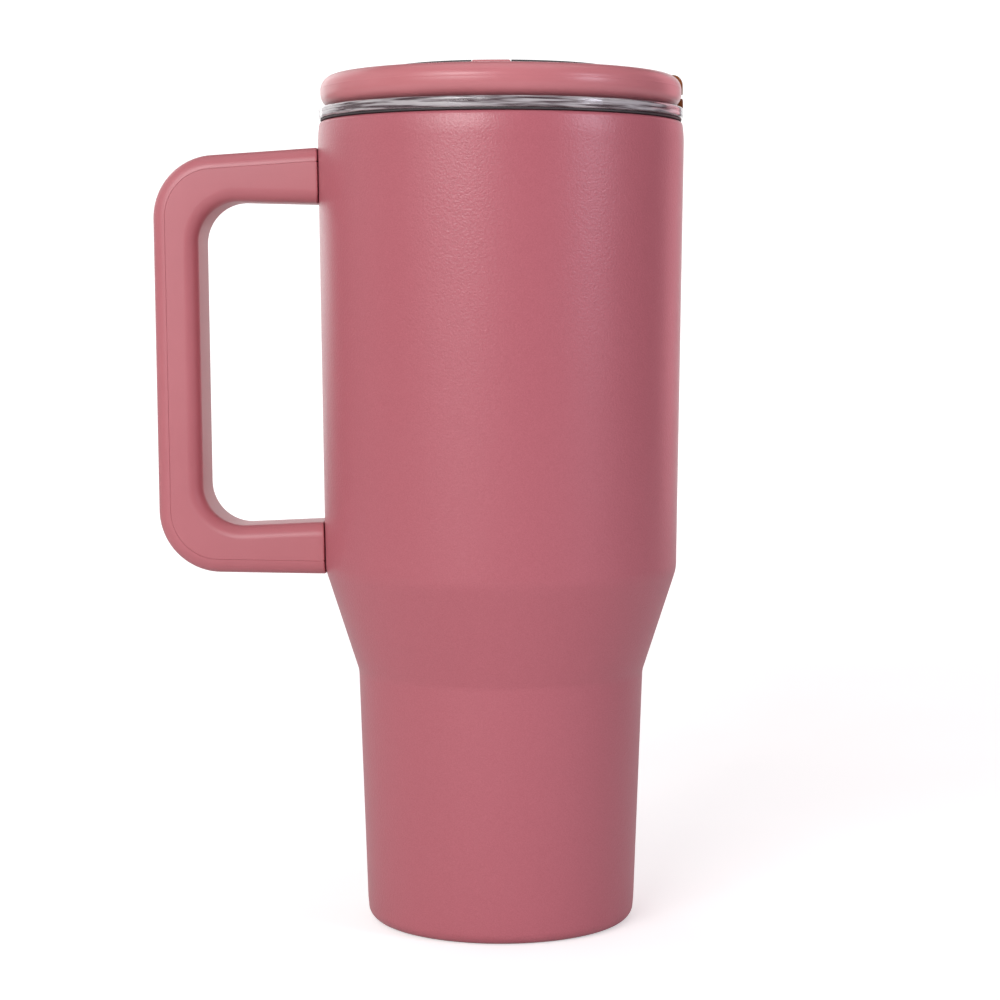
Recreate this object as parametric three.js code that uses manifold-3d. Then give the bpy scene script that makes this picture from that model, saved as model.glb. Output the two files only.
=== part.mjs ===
// Insulated travel mug: a double-walled steel vessel with a bolted-on handle and a press-in lid.
// Millimetres, +Z up. The origin is the centre of the base on the table, the vessel's axis is Z and
// the handle lies along -X. The lid holds a turning dial over its two ports and a hinged latch that
// hooks over the ring.
import * as THREE from "three";
import { mergeVertices } from "three/addons/utils/BufferGeometryUtils.js";
import Module from "manifold-3d";

const wasm = await Module();
wasm.setup();

// ---------------------------------------------------------------- driving dimensions

const SEGMENTS = 48; // facets round the vessel's axis
const GAP = 0.3; // clearance between a piece and a neighbour that shapes it
const RUNNING_GAP = 0.08; // clearance of a shaft in its hole

const FOOT_Z = 0.4; // the steel stands this far above the table, on its pad
const BASE_R = 37.5;
const LOWER_TOP = { r: 40.0, z: 70.6 }; // top of the cup-holder section
const UPPER_FOOT = { r: 49.3, z: 99.3 }; // foot of the wide section
const RIM = { r: 50.9, z: 223.5 };
const BASE_FILLET = 3.5;
const LOWER_CREASE_R = 8;
const UPPER_CREASE_R = 12;
const RIM_FILLET = 2; // inside the rolled rim
const TURN_IN = { below: 6, by: 0.35, edge: 1.1 }; // how the wall draws in just under its rim
const OUTER_WALL_T = 0.8;
const INNER_WALL_T = 0.7;
const WALL_STACK = 3.2; // outer face of the outer wall to inner face of the inner wall
const INNER_FLOOR_Z = 7.5;
const INNER_FLOOR_FILLET = 9;

const HANDLE_W = 21; // across the grip
const HANDLE_EDGE_R = 4;
const HANDLE_OUTER_CORNER_R = 17.5;
const HANDLE_INNER_CORNER_R = 11.5;
const COVER_T = 3.8; // depth of the strip that runs round the outside of the handle
const COVER_LINE = 0.3;

const FLANGE = { r: 50.75, bottom: 224.25, top: 227.2 };
const DECK = { bottom: 229.8, top: 232.0 };
const RING = { r: 45.55, z: 231.7, out: 4.55, high: 4.5, power: 2.3 }; // the ring's rounded outer side
const RING_INNER_R = 40.2;
const DIAL = { r: 33.5, bottom: 232.35, floor: 234.4, top: 237.9 };
const DIAL_RIM_T = 1.8;
const GRIP_W = 10.4;
const GRIP_SLOT = 0.15; // clear width on each side of the grip where it crosses the dial's rim
const PIVOT_R = 2.3;
const STRAW_PORT = { at: 17, r: 5.0 };
const SIP_PORT = { at: 21.5, width: 9.0, depth: 6.0 };
const PORT_SEAL = { inner: 5.9, outer: 8.0 };
const LATCH_AZIMUTH = THREE.MathUtils.degToRad(18);
const LATCH_W = 12;
const LATCH_T = 1.8;
const HINGE = { r: 36.3, z: 235.0, pin: 1.0, barrel: 2.4 };

// ---------------------------------------------------------------- materials

const material = (color, roughness, metalness = 0, opacity = 1) =>
  new THREE.MeshStandardMaterial({
    color,
    roughness,
    metalness,
    opacity,
    transparent: opacity < 1,
  });
const FINISH = {
  powderCoat: material(0xb96a74, 0.55),
  steel: material(0xb9b9bb, 0.3, 1),
  handle: material(0xbe727a, 0.45),
  ring: material(0xc47b82, 0.4),
  clear: material(0xe8e8ea, 0.05, 0, 0.35),
  silicone: material(0x3b393b, 0.6),
  charcoal: material(0x2b2a2c, 0.25),
  amber: material(0x7c451d, 0.2),
  glass: material(0x6f7c6c, 0.1),
  getter: material(0x6a6a6c, 0.7, 1),
};

// ---------------------------------------------------------------- helpers

const assembly = new THREE.Group();

function addPart(name, geometry, finish) {
  const mesh = new THREE.Mesh(geometry, finish);
  mesh.name = name;
  assembly.add(mesh);
  return mesh;
}

// A solid of revolution about Z from a closed list of [radius, height].
function lathe(profile, segments = SEGMENTS) {
  const area = profile.reduce((sum, [r, z], i) => {
    const [r2, z2] = profile[(i + 1) % profile.length];
    return sum + (r * z2 - r2 * z);
  }, 0);
  const points = (area > 0 ? profile : [...profile].reverse()).map(([r, z]) => new THREE.Vector2(r, z));
  const firstOnAxis = points.findIndex((p, i) => p.x === 0 && points[(i + 1) % points.length].x > 0);
  const start = Math.max(firstOnAxis, 0);
  const ordered = [...points.slice(start), ...points.slice(0, start)];
  if (firstOnAxis < 0) ordered.push(ordered[0].clone());
  return new THREE.LatheGeometry(ordered, segments).rotateX(Math.PI / 2);
}

const cylinder = (radius, z0, z1, x = 0, y = 0, segments = 32) =>
  lathe([[0, z0], [radius, z0], [radius, z1], [0, z1]], segments).translate(x, y, 0);

const box = (x0, x1, y0, y1, z0, z1) =>
  new THREE.BoxGeometry(x1 - x0, y1 - y0, z1 - z0).translate((x0 + x1) / 2, (y0 + y1) / 2, (z0 + z1) / 2);

// A shape drawn in the XZ plane and extruded along Y, centred on Y = 0.
function extrudeAlongY(points, width, bevel = 0) {
  const shape = new THREE.Shape(points.map(([x, z]) => new THREE.Vector2(x, z)));
  const geometry = new THREE.ExtrudeGeometry(shape, {
    depth: width - 2 * bevel,
    bevelEnabled: bevel > 0,
    bevelSize: bevel,
    bevelOffset: -bevel,
    bevelThickness: bevel,
    bevelSegments: 5,
    curveSegments: 8,
  });
  return geometry.translate(0, 0, -(width - 2 * bevel) / 2).rotateX(Math.PI / 2);
}

function toSolid(geometry) {
  const bare = (geometry.index ? geometry.toNonIndexed() : geometry).clone();
  bare.deleteAttribute("normal");
  bare.deleteAttribute("uv");
  const merged = mergeVertices(bare, 1e-4);
  return new wasm.Manifold(
    new wasm.Mesh({
      numProp: 3,
      vertProperties: merged.attributes.position.array,
      triVerts: new Uint32Array(merged.index.array),
    }),
  );
}

function toGeometry(solid) {
  const { vertProperties, triVerts } = solid.getMesh();
  const geometry = new THREE.BufferGeometry();
  geometry.setAttribute("position", new THREE.BufferAttribute(vertProperties, 3));
  geometry.setIndex(new THREE.BufferAttribute(triVerts, 1));
  geometry.computeVertexNormals();
  return geometry;
}

const cut = (geometry, ...tools) =>
  toGeometry(tools.reduce((solid, tool) => solid.subtract(toSolid(tool)), toSolid(geometry)));
const join = (geometry, ...others) =>
  toGeometry(others.reduce((solid, other) => solid.add(toSolid(other)), toSolid(geometry)));
const common = (a, b) => toGeometry(toSolid(a).intersect(toSolid(b)));

// Points of a circular arc in a profile, from one angle to another in degrees.
function arc(cx, cy, radius, from, to, steps) {
  return Array.from({ length: steps + 1 }, (_, i) => {
    const a = THREE.MathUtils.degToRad(from + ((to - from) * i) / steps);
    return [cx + radius * Math.cos(a), cy + radius * Math.sin(a)];
  });
}

// Replaces a polyline's inner corners by arcs of the given radii.
function roundCorners(points, radii, steps = 6) {
  const rounded = [points[0]];
  for (let i = 1; i < points.length - 1; i++) {
    const corner = new THREE.Vector2(...points[i]);
    const back = new THREE.Vector2(...points[i - 1]).sub(corner).normalize();
    const ahead = new THREE.Vector2(...points[i + 1]).sub(corner).normalize();
    const half = Math.acos(THREE.MathUtils.clamp(back.dot(ahead), -1, 1)) / 2;
    const reach = radii[i - 1] / Math.tan(half);
    const centre = back.clone().add(ahead).normalize().multiplyScalar(radii[i - 1] / Math.sin(half)).add(corner);
    const start = corner.clone().addScaledVector(back, reach).sub(centre);
    const end = corner.clone().addScaledVector(ahead, reach).sub(centre);
    const sweep = Math.atan2(start.x * end.y - start.y * end.x, start.dot(end));
    for (let k = 0; k <= steps; k++) {
      const p = start.clone().rotateAround(new THREE.Vector2(), (sweep * k) / steps).add(centre);
      rounded.push([p.x, p.y]);
    }
  }
  rounded.push(points[points.length - 1]);
  return rounded;
}

// ---------------------------------------------------------------- the vessel

// The body's side line from foot to rim, moved inwards by a distance.
function sideLine(inset, footZ, rimZ) {
  const lowerSlope = (LOWER_TOP.r - BASE_R) / LOWER_TOP.z;
  const upperSlope = (RIM.r - UPPER_FOOT.r) / (RIM.z - UPPER_FOOT.z);
  const corners = [
    [BASE_R + lowerSlope * footZ - inset, footZ],
    [LOWER_TOP.r - inset, LOWER_TOP.z],
    [UPPER_FOOT.r - inset, UPPER_FOOT.z],
    [RIM.r - upperSlope * (RIM.z - rimZ) - inset, rimZ],
  ];
  return roundCorners(corners, [LOWER_CREASE_R, UPPER_CREASE_R], 2);
}

function outerWall() {
  const lipR = BASE_R - 6;
  const innerLipR = RIM.r - 2.3;
  const filletZ = FOOT_Z + BASE_FILLET;
  const side = sideLine(0, filletZ + 2, RIM.z - TURN_IN.below);
  const drawnR = side.at(-1)[0] - TURN_IN.by;
  const outer = [
    [lipR, FOOT_Z],
    ...arc(BASE_R - BASE_FILLET, filletZ, BASE_FILLET, -90, 0, 3),
    ...side,
    [drawnR + 0.75 * TURN_IN.by, RIM.z - TURN_IN.below / 2],
    ...arc(drawnR - TURN_IN.edge, RIM.z - TURN_IN.edge, TURN_IN.edge, 0, 90, 3),
    [innerLipR, RIM.z],
  ];
  const inner = [
    [lipR, FOOT_Z + OUTER_WALL_T],
    ...arc(BASE_R - BASE_FILLET, filletZ, BASE_FILLET - OUTER_WALL_T, -90, 0, 3),
    ...sideLine(OUTER_WALL_T, filletZ + 2, RIM.z - RIM_FILLET - 1),
    ...arc(RIM.r - RIM_FILLET, RIM.z - RIM_FILLET, RIM_FILLET - OUTER_WALL_T, 0, 90, 3),
    [innerLipR, RIM.z - OUTER_WALL_T],
  ];
  return lathe([...outer, ...inner.reverse()]);
}

function innerWall() {
  const faceAt = (inset, floorZ, fillet) => {
    const side = sideLine(inset, floorZ + fillet, RIM.z);
    return [
      [0, floorZ],
      ...arc(side[0][0] - fillet, floorZ + fillet, fillet, -90, 0, 4),
      ...side.slice(1),
    ];
  };
  const wet = faceAt(WALL_STACK, INNER_FLOOR_Z, INNER_FLOOR_FILLET);
  const vacuumSide = faceAt(
    WALL_STACK - INNER_WALL_T,
    INNER_FLOOR_Z - INNER_WALL_T,
    INNER_FLOOR_FILLET + INNER_WALL_T,
  );
  return lathe([...vacuumSide, ...wet.reverse()]);
}

// The outer body as one filled solid, grown by a distance: the tool that shapes what meets the wall.
const bodyCore = (grow) =>
  lathe([[0, 20], ...sideLine(-grow, 20, RIM.z), [0, RIM.z]]);

function vesselParts() {
  const cupZ = FOOT_Z + OUTER_WALL_T + 0.3;
  const cupT = 0.8;
  const dimple = { r: 5, rise: 1.2, hole: 0.8 };
  const baseCup = lathe([
    [dimple.hole, cupZ + dimple.rise],
    [dimple.r, cupZ + dimple.rise],
    [dimple.r + 1, cupZ],
    [BASE_R - BASE_FILLET + 0.4, cupZ],
    [BASE_R - BASE_FILLET + 0.4, cupZ + cupT],
    [dimple.r + 1, cupZ + cupT],
    [dimple.r, cupZ + cupT + dimple.rise],
    [dimple.hole, cupZ + cupT + dimple.rise],
  ]);
  const padR = BASE_R - 7.5;
  const basePad = lathe([
    [0, 0],
    [padR - 0.4, 0],
    [padR, 0.4],
    [padR, cupZ - 0.1],
    [0, cupZ - 0.1],
  ]);
  const plugTop = cupZ + dimple.rise - 0.1;
  const vacuumPlug = lathe([[0, plugTop - 0.8], [1.4, plugTop - 0.7], [2.4, plugTop], [0, plugTop]], 24);
  const getterTop = INNER_FLOOR_Z - INNER_WALL_T - 0.1;
  const getter = cylinder(5, getterTop - 1.2, getterTop, 12, 0, 24);

  addPart("outer_wall", outerWall(), FINISH.powderCoat);
  addPart("inner_wall", innerWall(), FINISH.steel);
  addPart("base_cup", baseCup, FINISH.powderCoat);
  addPart("vacuum_plug", vacuumPlug, FINISH.glass);
  addPart("getter_disc", getter, FINISH.getter);
  addPart("base_pad", basePad, FINISH.silicone);
}

// ---------------------------------------------------------------- the handle

// Lines of the handle's side view, as functions of the distance from the axis or of the height.
const HANDLE = {
  armTop: (r) => 216.5 - 0.064 * (r - 51),
  armBottom: (r) => 97.75 + 0.008 * (r - 51),
  holeTop: (r) => 201.15 + 0.026 * (r - 51),
  holeBottom: (r) => 112.3 - 0.05 * (r - 51),
  gripOuter: (z) => 96.1 + 0.0107 * (z - 128),
  gripInner: (z) => 83.45 + 0.0107 * (z - 128),
};
const HANDLE_ROOT_R = 42;

function corner(lineOfR, lineOfZ, inset, side) {
  let r = lineOfZ(150);
  for (let i = 0; i < 4; i++) r = lineOfZ(lineOfR(r)) - inset;
  return [r, lineOfR(r) - side * inset];
}

// The outside line of the handle from the upper root to the lower one, moved inwards by a distance.
function handleOuterLine(inset) {
  const line = [
    [HANDLE_ROOT_R, HANDLE.armTop(HANDLE_ROOT_R) - inset],
    corner(HANDLE.armTop, HANDLE.gripOuter, inset, 1),
    corner(HANDLE.armBottom, HANDLE.gripOuter, inset, -1),
    [HANDLE_ROOT_R, HANDLE.armBottom(HANDLE_ROOT_R) + inset],
  ];
  const radius = HANDLE_OUTER_CORNER_R - inset;
  return roundCorners(line, [radius, radius], 8);
}

function handleInnerLine() {
  const line = [
    [HANDLE_ROOT_R, HANDLE.holeTop(HANDLE_ROOT_R)],
    corner(HANDLE.holeTop, HANDLE.gripInner, 0, 1),
    corner(HANDLE.holeBottom, HANDLE.gripInner, 0, -1),
    [HANDLE_ROOT_R, HANDLE.holeBottom(HANDLE_ROOT_R)],
  ];
  return roundCorners(line, [HANDLE_INNER_CORNER_R, HANDLE_INNER_CORNER_R], 6);
}

const mirrorX = (points) => points.map(([x, z]) => [-x, z]);

// A bracket and a screw for one arm. out is 1 on the upper arm and -1 on the lower one.
function armFixing(midZ, coverZ, out) {
  const tongue = { reach: 67, halfW: 4.5, halfH: 2.6 };
  const saddle = { reach: 53, halfW: 6.5, halfH: 4 };
  const screwX = -60;
  const seatZ = coverZ; // the screw's head bears on the frame just under the cover
  const flip = (z0, z1) => (out > 0 ? [z0, z1] : [-z1, -z0]);
  const span = (from, to) => {
    const [a, b] = flip(out * from, out * to);
    return a < b ? [a, b] : [b, a];
  };
  const block = (s, grow) =>
    box(-s.reach - grow, -40, -s.halfW - grow, s.halfW + grow, midZ - s.halfH - grow, midZ + s.halfH + grow);
  const shank = (r, from, to) => cylinder(r, ...span(from, to), screwX, 0, 20);
  const tip = midZ - out * 2.2;
  const headZ = seatZ + out * 0.1;
  const raw = join(block(saddle, 0), block(tongue, 0));
  return {
    bracket: cut(raw, bodyCore(0.15), shank(1.85, midZ - out * 4, midZ + out * 4)),
    screw: join(shank(1.6, tip, headZ + out * 0.2), shank(3.2, headZ, headZ + out * 1.7)),
    framePocket: [
      block(saddle, GAP),
      block(tongue, GAP),
      shank(1.85, midZ, seatZ),
      shank(3.6, seatZ, seatZ + out * 3),
    ],
    coverPocket: shank(3.6, seatZ - out * 1, headZ + out * 2.0),
  };
}

function handleParts() {
  const outline = mirrorX([...handleOuterLine(0), ...handleInnerLine().reverse()]);
  const blank = extrudeAlongY(outline, HANDLE_W, HANDLE_EDGE_R);
  const band = (inset) => {
    const strip = [...handleOuterLine(-3), ...handleOuterLine(inset).reverse()];
    return extrudeAlongY(mirrorX(strip), HANDLE_W + 10);
  };
  const upper = armFixing(206.6, HANDLE.armTop(60) - COVER_T - COVER_LINE, 1);
  const lower = armFixing(107.0, HANDLE.armBottom(60) + COVER_T + COVER_LINE, -1);
  const wall = bodyCore(GAP);

  const frame = cut(blank, band(COVER_T + COVER_LINE), wall, ...upper.framePocket, ...lower.framePocket);
  const coverBlank = common(blank, band(COVER_T));
  const cover = cut(coverBlank, wall, upper.coverPocket, lower.coverPocket);

  addPart("handle_frame", frame, FINISH.handle);
  addPart("handle_cover", cover, FINISH.handle);
  addPart("upper_bracket", upper.bracket, FINISH.steel);
  addPart("lower_bracket", lower.bracket, FINISH.steel);
  addPart("upper_screw", upper.screw, FINISH.steel);
  addPart("lower_screw", lower.screw, FINISH.steel);
}

// ---------------------------------------------------------------- the lid

const SKIRT = { inner: 44.2, outer: 46.1, bottom: 211.5 };
const COLLAR = { inner: 41.6, outer: 43.2, top: 234.4 }; // the upstand that the ring snaps over
const atLatch = (geometry) => geometry.rotateZ(LATCH_AZIMUTH);

// Part of the ring's rounded outer side, grown by a distance, from one angle to another in degrees.
function ringSide(grow, from, to, steps) {
  const bulge = (value) => Math.sign(value) * Math.abs(value) ** (2 / RING.power);
  return arc(0, 0, 1, from, to, steps).map(([x, z]) => [
    RING.r + (RING.out + grow) * bulge(x),
    RING.z + (RING.high + grow) * bulge(z),
  ]);
}

// Side view of the latch, from its barrel over the ring and down the outside.
function latchProfile(grow = 0) {
  const top = 237.2 + grow;
  const outerR = 51.1 + grow;
  const tipZ = 231.8 - grow;
  const inner = outerR - LATCH_T - 2 * grow;
  const under = top - LATCH_T - 2 * grow;
  return [
    [HINGE.r, top],
    ...arc(outerR - 2.8, top - 2.8, 2.8, 90, 0, 5),
    [outerR, tipZ],
    [inner, tipZ],
    ...arc(inner - 1.2, under - 1.2, 1.2, 0, 90, 3),
    [HINGE.r, under],
  ];
}

function lidBase() {
  const shell = lathe([
    [0, DECK.bottom],
    [COLLAR.inner, DECK.bottom],
    [COLLAR.inner, FLANGE.bottom],
    [SKIRT.inner, FLANGE.bottom],
    [SKIRT.inner, SKIRT.bottom],
    [SKIRT.outer - 0.6, SKIRT.bottom],
    [SKIRT.outer, SKIRT.bottom + 0.8],
    [SKIRT.outer, FLANGE.bottom],
    ...arc(FLANGE.r - 0.7, FLANGE.bottom + 0.7, 0.7, -90, 0, 2),
    ...arc(FLANGE.r - 0.7, FLANGE.top - 0.7, 0.7, 0, 90, 2),
    [COLLAR.outer, FLANGE.top],
    [COLLAR.outer, COLLAR.top],
    [COLLAR.inner, COLLAR.top],
    [COLLAR.inner, DECK.top],
    [0, DECK.top],
  ]);
  const boss = cylinder(5.4, 221.5, DECK.bottom + 0.5);
  const strawCollar = cylinder(STRAW_PORT.r + 1.6, 221.5, DECK.bottom + 0.5, 0, -STRAW_PORT.at);
  const earT = 2.4;
  const ear = (side) => {
    const y0 = side * (LATCH_W / 2 + 0.3);
    const y1 = y0 + side * earT;
    const foot = box(
      HINGE.r - 2.6, HINGE.r + 2.6, Math.min(y0, y1), Math.max(y0, y1), DECK.top - 0.5, HINGE.z,
    );
    const eye = new THREE.CylinderGeometry(2.6, 2.6, earT, 24).translate(HINGE.r, (y0 + y1) / 2, HINGE.z);
    return [atLatch(foot), atLatch(eye.rotateX(0))];
  };
  const pinHole = new THREE.CylinderGeometry(HINGE.pin + RUNNING_GAP, HINGE.pin + RUNNING_GAP, 30, 24);
  const sipSlot = box(
    -SIP_PORT.width / 2, SIP_PORT.width / 2,
    SIP_PORT.at - SIP_PORT.depth / 2, SIP_PORT.at + SIP_PORT.depth / 2,
    DECK.bottom - 1, DECK.top + 1,
  );
  const sealSeat = (y) => cylinder(PORT_SEAL.outer + 0.3, DECK.top - 0.9, DECK.top + 1, 0, y);
  return cut(
    join(shell, boss, strawCollar, ...ear(1), ...ear(-1)),
    cylinder(1.9, 223.0, DECK.top + 1),
    cylinder(STRAW_PORT.r, 215, DECK.top + 1, 0, -STRAW_PORT.at),
    sealSeat(-STRAW_PORT.at),
    sealSeat(SIP_PORT.at),
    atLatch(pinHole.translate(HINGE.r, 0, HINGE.z)),
    sipSlot,
    cylinder(1.0, DECK.bottom - 1, DECK.top + 1, -37.2, 0, 16),
  );
}

function lidRing() {
  const lowZ = DECK.top + 0.3;
  const top = RING.z + RING.high;
  const ring = lathe([
    [COLLAR.outer + 0.2, COLLAR.top + 0.2],
    [COLLAR.outer + 0.2, FLANGE.top + 0.1],
    ...ringSide(0, -88, 90, 10),
    ...arc(RING_INNER_R + 2, top - 2, 2, 90, 180, 3),
    [RING_INNER_R, lowZ],
    [COLLAR.inner - 0.2, lowZ],
    [COLLAR.inner - 0.2, COLLAR.top + 0.2],
  ]);
  const pocket = extrudeAlongY(latchProfile(GAP), LATCH_W + 2 * GAP);
  const over = box(HINGE.r, 55, -LATCH_W / 2 - GAP, LATCH_W / 2 + GAP, 237, 242);
  return cut(ring, atLatch(pocket), atLatch(over));
}

function lidSeal() {
  const fin = (z) => [[46.9, z - 0.7], [47.35, z], [46.9, z + 0.3]];
  return lathe([
    [SKIRT.outer + 0.15, 213.2],
    [46.9, 213.2],
    ...fin(215.6),
    ...fin(219.6),
    [46.9, RIM.z + 0.15],
    [FLANGE.r - 0.65, RIM.z + 0.15],
    [FLANGE.r - 0.65, FLANGE.bottom - 0.1],
    [SKIRT.outer + 0.15, FLANGE.bottom - 0.1],
  ]);
}

function dialParts() {
  const dish = lathe([
    [0, DIAL.bottom],
    [DIAL.r - 0.5, DIAL.bottom],
    [DIAL.r, DIAL.bottom + 0.5],
    [DIAL.r, DIAL.top - 0.6],
    [DIAL.r - 0.6, DIAL.top],
    [DIAL.r - DIAL_RIM_T, DIAL.top],
    [DIAL.r - DIAL_RIM_T, DIAL.floor],
    [0, DIAL.floor],
  ]);
  const slotHalf = GRIP_W / 2 + GRIP_SLOT;
  const slot = box(-slotHalf, slotHalf, -40, 40, DIAL.floor, DIAL.top + 1);
  const windowHalf = 5;
  const window = [
    cylinder(windowHalf, 230, 240, -STRAW_PORT.at, 0),
    box(-SIP_PORT.at - 3.2, -STRAW_PORT.at, -windowHalf, windowHalf, 230, 240),
  ];
  const dial = cut(dish, slot, cylinder(PIVOT_R + RUNNING_GAP, 230, 240), ...window);

  const gripZ = DIAL.floor + 0.1;
  const blank = common(
    box(-GRIP_W / 2, GRIP_W / 2, -40, 40, gripZ, DIAL.top),
    cylinder(DIAL.r, 230, 240, 0, 0, SEGMENTS),
  );
  const grip = cut(blank, cylinder(4.6, gripZ - 1, gripZ + 2.3, 0, 0, 32));

  addPart("dial", dial, FINISH.charcoal);
  addPart("dial_grip", grip, FINISH.ring);

  const washer = lathe([[2.6, 234.55], [4.2, 234.55], [4.2, 234.95], [2.6, 234.95]], 32);
  const pivot = lathe(
    [
      [0, 223.5],
      [1.7, 223.5],
      [1.7, DECK.top + 0.1],
      [PIVOT_R, DECK.top + 0.1],
      [PIVOT_R, 235.1],
      [3.8, 235.1],
      [3.8, 236.2],
      [3.5, 236.5],
      [0, 236.5],
    ],
    32,
  );
  addPart("spring_washer", washer, FINISH.steel);
  addPart("pivot_screw", pivot, FINISH.steel);

  const portSeal = (y) => {
    const { inner, outer } = PORT_SEAL;
    const middle = (inner + outer) / 2;
    const section = [[inner, 231.25], [outer, 231.25], [outer, 231.8], [middle, 232.2], [inner, 231.8]];
    return lathe(section, 36).translate(0, y, 0);
  };
  addPart("straw_seal", portSeal(-STRAW_PORT.at), FINISH.silicone);
  addPart("sip_seal", portSeal(SIP_PORT.at), FINISH.silicone);
}

function latchParts() {
  const arm = extrudeAlongY(latchProfile(), LATCH_W);
  const barrel = new THREE.CylinderGeometry(HINGE.barrel, HINGE.barrel, LATCH_W, 32);
  const boreR = HINGE.pin + RUNNING_GAP;
  const bore = new THREE.CylinderGeometry(boreR, boreR, LATCH_W + 4, 24);
  const latch = cut(join(arm, barrel.translate(HINGE.r, 0, HINGE.z)), bore.translate(HINGE.r, 0, HINGE.z));
  addPart("ring_latch", atLatch(latch), FINISH.amber);

  const pin = new THREE.CylinderGeometry(HINGE.pin, HINGE.pin, LATCH_W + 5, 24);
  addPart("latch_pin", atLatch(pin.translate(HINGE.r, 0, HINGE.z)), FINISH.steel);

  const catchTop = 230.7;
  const stub = extrudeAlongY(
    [
      [47.0, FLANGE.top + 0.1],
      [50.2, FLANGE.top + 0.1],
      [51.2, FLANGE.top + 0.9],
      [51.2, catchTop],
      [47.0, catchTop],
    ],
    LATCH_W,
  );
  const under = RING.z - RING.high - 5;
  const over = RING.z + RING.high + 5;
  const undercut = lathe([[30, under], ...ringSide(GAP, -90, 90, 20), [30, over]], 96);
  addPart("latch_catch", cut(atLatch(stub), undercut), FINISH.amber);
}

vesselParts();
handleParts();
addPart("lid_base", lidBase(), FINISH.clear);
addPart("lid_ring", lidRing(), FINISH.ring);
addPart("lid_seal", lidSeal(), FINISH.silicone);
dialParts();
latchParts();

export default assembly;
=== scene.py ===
"""Looks of the insulated travel mug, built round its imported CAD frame.

Lengths are in millimetres up to to_object(), and in metres in the materials, lights and camera.
"""

import math

import bmesh
import bpy
from mathutils import Matrix, Vector


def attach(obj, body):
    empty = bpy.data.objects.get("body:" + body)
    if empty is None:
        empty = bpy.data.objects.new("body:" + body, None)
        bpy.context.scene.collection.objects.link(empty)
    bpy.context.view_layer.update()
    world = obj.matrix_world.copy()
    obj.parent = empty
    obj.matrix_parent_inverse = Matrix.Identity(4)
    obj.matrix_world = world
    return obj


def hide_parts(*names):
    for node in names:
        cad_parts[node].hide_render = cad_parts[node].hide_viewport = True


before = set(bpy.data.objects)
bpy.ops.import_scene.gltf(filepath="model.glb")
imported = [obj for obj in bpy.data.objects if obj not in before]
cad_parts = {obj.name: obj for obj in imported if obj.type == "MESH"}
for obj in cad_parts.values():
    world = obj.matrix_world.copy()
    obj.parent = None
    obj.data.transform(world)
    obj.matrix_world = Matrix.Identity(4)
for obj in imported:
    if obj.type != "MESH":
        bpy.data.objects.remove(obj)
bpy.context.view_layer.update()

MM = 0.001
FINE = 256  # facets round the vessel's axis
SHARP = 35  # an edge that bends by more degrees than this isn't shaded smooth

# ---------------------------------------------------------------- dimensions, most shared with the CAD

FOOT_Z = 0.4
FOOT_DROP = 0.35  # the wall's foot is drawn this much closer to the ground than in the CAD
BASE_R = 37.5
LOWER_TOP = (40.0, 70.6)
UPPER_FOOT = (49.3, 99.3)
RIM = (50.9, 223.5)
BASE_FILLET = 3.5
RIM_FILLET = 2.0
TURN_IN, TURN_BY, RIM_EDGE_R = 6.0, 0.35, 1.1  # how the wall draws in just under its rim
LOWER_CREASE_R = 8
UPPER_CREASE_R = 12
OUTER_WALL_T = 0.8
INNER_WALL_T = 0.7
WALL_STACK = 3.2
INNER_FLOOR_Z = 7.5
INNER_FLOOR_FILLET = 9
GAP = 0.3

ROOT_R = 51.0  # the arms' sweep starts here, and their ends are then laid on the wall
ARM_TOP_Z, ARM_TOP_SLOPE = 216.5, 0.064  # heights at ROOT_R, and fall or rise per mm outwards
ARM_BOTTOM_Z, ARM_BOTTOM_SLOPE = 97.75, 0.008
HOLE_TOP_Z, HOLE_TOP_SLOPE = 201.15, 0.026
HOLE_BOTTOM_Z, HOLE_BOTTOM_SLOPE = 112.3, 0.05
GRIP_OUTER_R, GRIP_INNER_R = 96.1, 83.45  # at GRIP_Z
GRIP_Z, GRIP_SLOPE = 128, 0.0107
HANDLE_W = 21.0
HANDLE_EDGE_R = 4.0
HANDLE_OUTER_CORNER_R = 17.5
HANDLE_INNER_CORNER_R = 11.5
COVER_T = 3.9  # the seam is drawn tighter than the CAD solids' clearance
COVER_LINE = 0.025
SEAM_LIP = 0.07
END_ROUND = 0.5  # rounding of the arms' ends against the wall

FLANGE_R, FLANGE_BOTTOM, FLANGE_TOP = 50.75, 224.25, 227.2
DECK_BOTTOM, DECK_TOP = 229.8, 232.0
RING_R, RING_Z, RING_OUT, RING_HIGH, RING_POWER = 45.55, 231.7, 4.55, 4.5, 2.3
RING_INNER_R = 40.2
SKIRT_INNER, SKIRT_OUTER, SKIRT_BOTTOM = 44.2, 46.1, 211.5
COLLAR_INNER, COLLAR_OUTER, COLLAR_TOP = 41.6, 43.2, 234.4
DIAL_R, DIAL_BOTTOM, DIAL_FLOOR, DIAL_TOP = 33.5, 232.35, 234.4, 237.9
DIAL_RIM_T = 1.8
GRIP_W, GRIP_SLOT = 10.4, 0.15
STRAW_AT, STRAW_R = 17.0, 5.0
SIP_AT, SIP_WIDTH, SIP_DEPTH = 21.5, 9.0, 6.0
SEAL_INNER, SEAL_OUTER = 5.9, 8.0
LATCH_AZIMUTH = math.radians(18)
LATCH_W, LATCH_T = 12.0, 1.8
LATCH_TOP, LATCH_OUTER_R, LATCH_TIP_Z = 237.2, 51.1, 231.8
HINGE_R, HINGE_Z, PIN_R, BARREL_R = 36.3, 235.0, 1.0, 2.4
PIN_PLAY = 0.08
BOSS_BOTTOM = 221.5
VENT_X, VENT_R = -37.2, 1.0

# ---------------------------------------------------------------- profiles


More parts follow.
